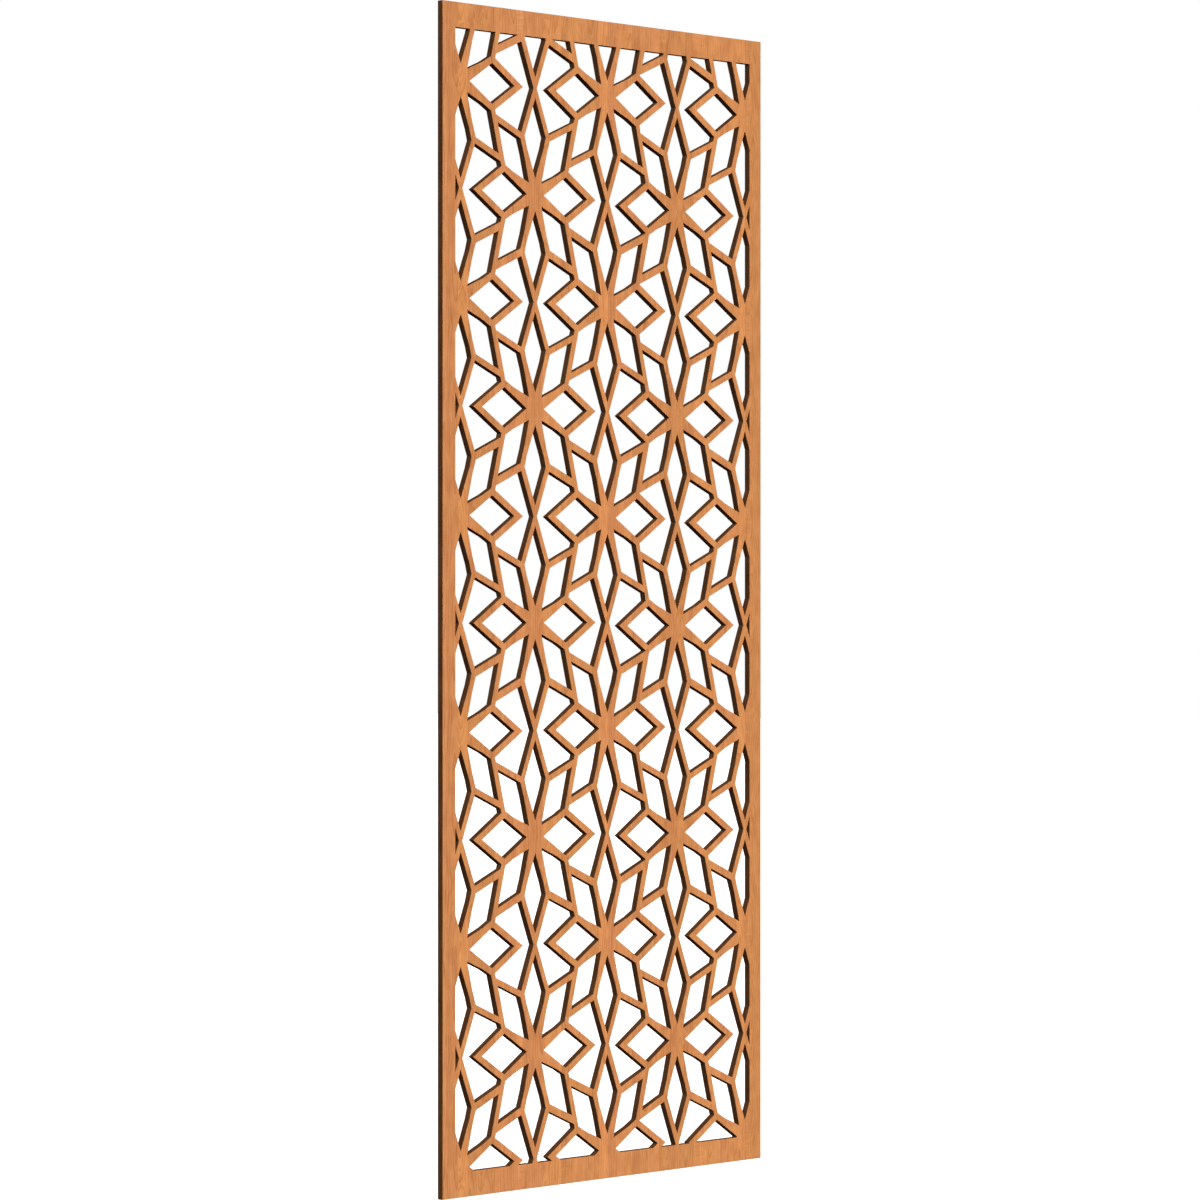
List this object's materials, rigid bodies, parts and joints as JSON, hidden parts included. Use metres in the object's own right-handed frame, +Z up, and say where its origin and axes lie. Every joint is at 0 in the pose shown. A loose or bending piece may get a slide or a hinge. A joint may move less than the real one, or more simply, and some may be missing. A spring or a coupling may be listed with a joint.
{
  "type": "pierced mashrabiya screen panel",
  "caption": "Tall flat screen panel pierced with a repeating star, kite, petal and lozenge lattice inside a plain uncut border.",
  "frame": {"origin": "on the back face, in the middle of the top rail, where the panel is hung or screwed back", "axes": "+Z up along the panel's height, +X to the right seen from the front, +Y out of the back face, so the front faces -Y"},
  "size_m": [0.96, 0.014, 2.4],
  "materials": {
    "veneered_board": "satin orange-brown cherry veneer with upright grain on both faces, dark burnt-brown cut edges"
  },
  "bodies": {
    "root": {"screen_panel": "veneered_board"}
  },
  "joints": []
}
